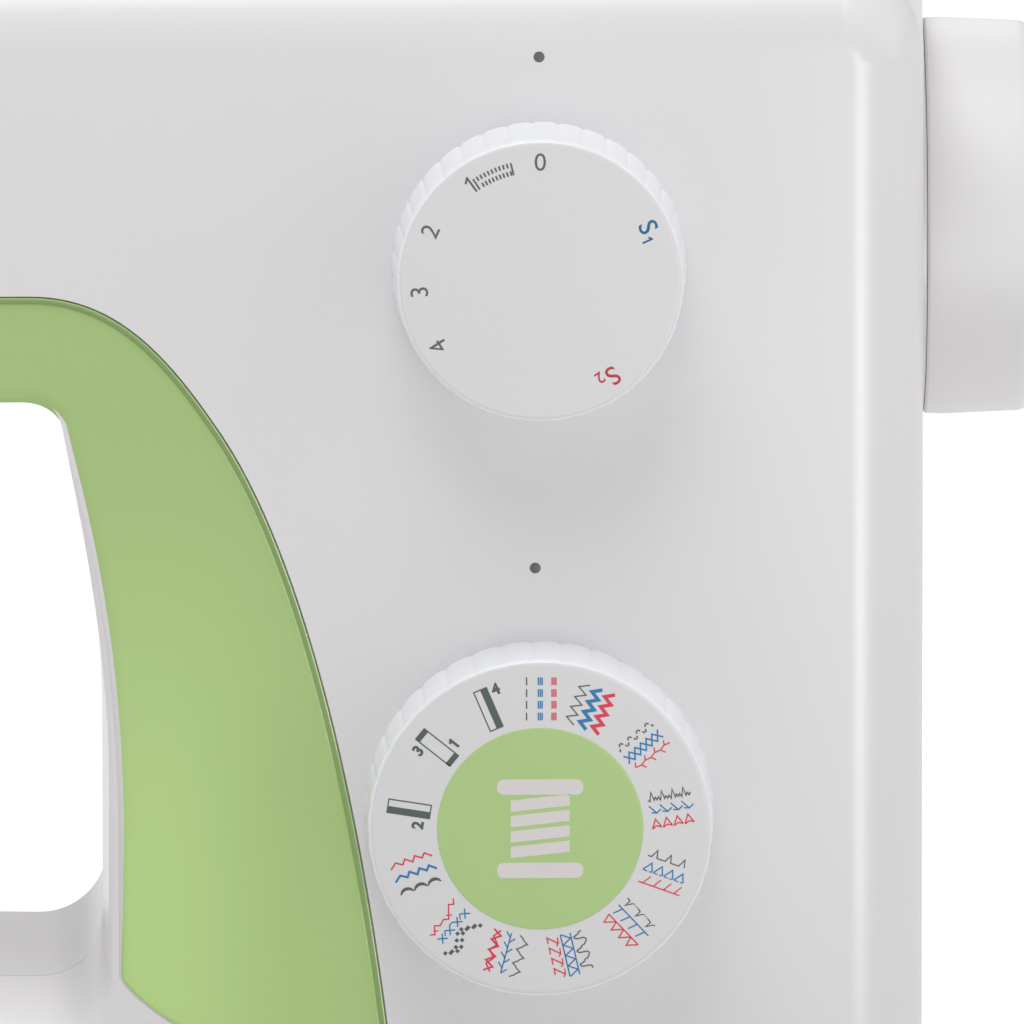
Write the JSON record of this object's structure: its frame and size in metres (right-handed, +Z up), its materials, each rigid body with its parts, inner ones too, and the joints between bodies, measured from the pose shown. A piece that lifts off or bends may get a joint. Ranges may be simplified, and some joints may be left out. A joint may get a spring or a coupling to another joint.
{
  "type": "sewing machine",
  "caption": "Household mechanical sewing machine with a free arm, slide-off table, handwheel, stitch-length dial, pattern dial and a coloured throat insert.",
  "frame": {"origin": "middle of the bounding box's bottom face, on the surface the machine stands on", "axes": "+X to the right, towards the handwheel; -Y to the front, where the dials are; +Z up"},
  "size_m": [0.381, 0.146, 0.302],
  "materials": {
    "white_shell": "glossy, lightly pearled",
    "green_shell": "satin gloss",
    "steel": "polished",
    "cast_metal": "as cast",
    "dark_plastic": "matt",
    "rubber": "matt",
    "bronze": "sintered",
    "clear": "clear"
  },
  "bodies": {
    "machine": {"front_cover": "white_shell", "rear_cover": "white_shell", "throat_insert": "green_shell", "base_tray": "white_shell", "rubber_foot_1": "rubber", "rubber_foot_2": "rubber", "rubber_foot_3": "rubber", "rubber_foot_4": "rubber", "free_arm_cover": "white_shell", "needle_plate": "steel", "frame_casting": "cast_metal", "main_bush_left": "bronze", "main_bush_right": "bronze", "motor": "dark_plastic", "motor_bracket": "steel", "drive_belt": "rubber", "hook_race": "cast_metal", "power_socket": "dark_plastic", "lamp_bulb": "clear", "thread_guide": "steel"},
    "face_cover": {"face_cover": "white_shell"},
    "extension_table": {"extension_table": "white_shell"},
    "bobbin_door": {"bobbin_door": "white_shell"},
    "main_shaft": {"main_shaft": "steel", "needle_crank": "cast_metal", "handwheel": "white_shell", "shaft_pulley": "dark_plastic"},
    "crank_link": {"crank_link": "steel"},
    "motor_pulley": {"motor_pulley": "steel"},
    "cam_stack": {"cam_stack": "dark_plastic"},
    "needle_bar_frame": {"needle_bar_frame": "cast_metal"},
    "needle_bar": {"needle_bar": "steel", "needle_clamp": "steel", "needle": "steel"},
    "clamp_screw": {"clamp_screw": "steel"},
    "presser_bar": {"presser_bar": "steel", "presser_foot": "steel", "presser_spring": "steel"},
    "presser_lifter": {"presser_lifter": "steel"},
    "take_up_lever": {"take_up_lever": "steel"},
    "shuttle_hook": {"shuttle_hook": "steel", "hook_driver": "steel"},
    "lower_shaft": {"lower_shaft": "steel"},
    "bobbin_case": {"bobbin_case": "steel", "bobbin": "clear"},
    "feed_bar": {"feed_bar": "cast_metal"},
    "feed_dog": {"feed_dog": "steel"},
    "stitch_length_dial": {"stitch_length_dial": "white_shell", "stitch_length_shaft": "dark_plastic"},
    "pattern_dial": {"pattern_dial": "white_shell", "pattern_dial_cap": "green_shell", "pattern_shaft": "dark_plastic"},
    "tension_dial": {"tension_dial": "white_shell", "tension_discs": "steel"},
    "reverse_lever": {"reverse_lever": "white_shell"},
    "carry_handle": {"carry_handle": "white_shell"},
    "winder_carriage": {"winder_carriage": "white_shell"},
    "winder_spindle": {"winder_spindle": "steel"},
    "spool_pin": {"spool_pin": "white_shell"},
    "power_switch": {"power_switch": "dark_plastic"}
  },
  "joints": [
    {"name": "handwheel_turn", "type": "hinge", "parent": "machine", "child": "main_shaft", "pos_m": [0, 0, 0.2267], "axis": [1, 0, 0], "continuous": true},
    {"name": "motor_turn", "type": "hinge", "parent": "machine", "child": "motor_pulley", "pos_m": [0, 0.022, 0.066], "axis": [1, 0, 0], "continuous": true},
    {"name": "cam_stack_turn", "type": "hinge", "parent": "machine", "child": "cam_stack", "pos_m": [0.058, 0, 0.2001], "axis": [0, 1, 0], "continuous": true},
    {"name": "crank_link_swing", "type": "hinge", "parent": "main_shaft", "child": "crank_link", "pos_m": [0, 0, 0.2407], "axis": [1, 0, 0], "continuous": true},
    {"name": "face_cover_open", "type": "hinge", "parent": "machine", "child": "face_cover", "pos_m": [-0.1723, 0.062, 0], "axis": [0, 0, -1], "range_deg": [0, 100]},
    {"name": "extension_table_slide", "type": "slide", "parent": "machine", "child": "extension_table", "axis": [-1, 0, 0], "range_m": [0, 0.185]},
    {"name": "bobbin_door_open", "type": "hinge", "parent": "machine", "child": "bobbin_door", "pos_m": [0, -0.0296, 0.0449], "axis": [1, 0, 0], "range_deg": [0, 85]},
    {"name": "zigzag_swing", "type": "hinge", "parent": "machine", "child": "needle_bar_frame", "pos_m": [-0.143, 0, 0.262], "axis": [0, 1, 0], "range_deg": [-0.75, 0.75]},
    {"name": "needle_bar_stroke", "type": "slide", "parent": "needle_bar_frame", "child": "needle_bar", "axis": [0, 0, -1], "range_m": [0, 0.03]},
    {"name": "clamp_screw_turn", "type": "hinge", "parent": "needle_bar", "child": "clamp_screw", "pos_m": [-0.143, 0, 0.127], "axis": [1, 0, 0], "range_deg": [0, 360]},
    {"name": "take_up_turn", "type": "hinge", "parent": "machine", "child": "take_up_lever", "pos_m": [-0.153, -0.02, 0.222], "axis": [1, 0, 0], "range_deg": [0, 50]},
    {"name": "hook_turn", "type": "hinge", "parent": "machine", "child": "shuttle_hook", "pos_m": [-0.143, 0, 0.056], "axis": [0, 1, 0], "range_deg": [0, 200]},
    {"name": "lower_shaft_turn", "type": "hinge", "parent": "machine", "child": "lower_shaft", "pos_m": [0, 0.016, 0.05], "axis": [1, 0, 0], "range_deg": [0, 75]},
    {"name": "lifter_turn", "type": "hinge", "parent": "machine", "child": "presser_lifter", "pos_m": [-0.126, 0.04, 0.168], "axis": [0, -1, 0], "range_deg": [0, 80]},
    {"name": "presser_bar_lift", "type": "slide", "parent": "machine", "child": "presser_bar", "axis": [0, 0, 1], "range_m": [0, 0.006], "deforming": ["presser_spring"]},
    {"name": "feed_travel", "type": "slide", "parent": "machine", "child": "feed_bar", "axis": [0, 1, 0], "range_m": [-0.002, 0.002]},
    {"name": "feed_rise", "type": "slide", "parent": "feed_bar", "child": "feed_dog", "axis": [0, 0, 1], "range_m": [0, 0.0012]},
    {"name": "stitch_length_turn", "type": "hinge", "parent": "machine", "child": "stitch_length_dial", "pos_m": [0.0947, 0, 0.2288], "axis": [0, 1, 0], "range_deg": [-145, 123]},
    {"name": "pattern_turn", "type": "hinge", "parent": "machine", "child": "pattern_dial", "pos_m": [0.0947, 0, 0.1228], "axis": [0, 1, 0], "continuous": true},
    {"name": "tension_turn", "type": "hinge", "parent": "machine", "child": "tension_dial", "pos_m": [-0.128, 0, 0.232], "axis": [0, 1, 0], "range_deg": [-160, 160]},
    {"name": "reverse_press", "type": "hinge", "parent": "machine", "child": "reverse_lever", "pos_m": [0.0947, -0.03, 0.048], "axis": [1, 0, 0], "range_deg": [0, 10], "stiffness_Nm_per_rad": 0.8, "springref_deg": -5.73},
    {"name": "carry_handle_fold", "type": "hinge", "parent": "machine", "child": "carry_handle", "pos_m": [0, 0.009, 0.291], "axis": [1, 0, 0], "range_deg": [0, 90]},
    {"name": "winder_engage", "type": "slide", "parent": "machine", "child": "winder_carriage", "axis": [1, 0, 0], "range_m": [0, 0.008]},
    {"name": "winder_spin", "type": "hinge", "parent": "winder_carriage", "child": "winder_spindle", "pos_m": [0.1167, 0.01, 0.285], "axis": [0, 0, 1], "continuous": true},
    {"name": "spool_pin_raise", "type": "slide", "parent": "machine", "child": "spool_pin", "axis": [0, 0, 1], "range_m": [0, 0.04]},
    {"name": "bobbin_case_pull", "type": "slide", "parent": "machine", "child": "bobbin_case", "axis": [0, -1, 0], "range_m": [0, 0.0045]},
    {"name": "power_switch_rock", "type": "hinge", "parent": "machine", "child": "power_switch", "pos_m": [0.167, 0.016, 0.044], "axis": [0, 1, 0], "range_deg": [-10, 0]}
  ],
  "couplings": [
    {"joint": "crank_link_swing", "follows": "handwheel_turn", "ratio": -1},
    {"joint": "motor_turn", "follows": "handwheel_turn", "ratio": 6},
    {"joint": "cam_stack_turn", "follows": "handwheel_turn", "ratio": 0.05},
    {"joint": "take_up_turn", "follows": "needle_bar_stroke", "rad_per_m": 28},
    {"joint": "hook_turn", "follows": "needle_bar_stroke", "rad_per_m": 110},
    {"joint": "lower_shaft_turn", "follows": "needle_bar_stroke", "rad_per_m": 40},
    {"joint": "lifter_turn", "follows": "presser_bar_lift", "rad_per_m": 232}
  ]
}
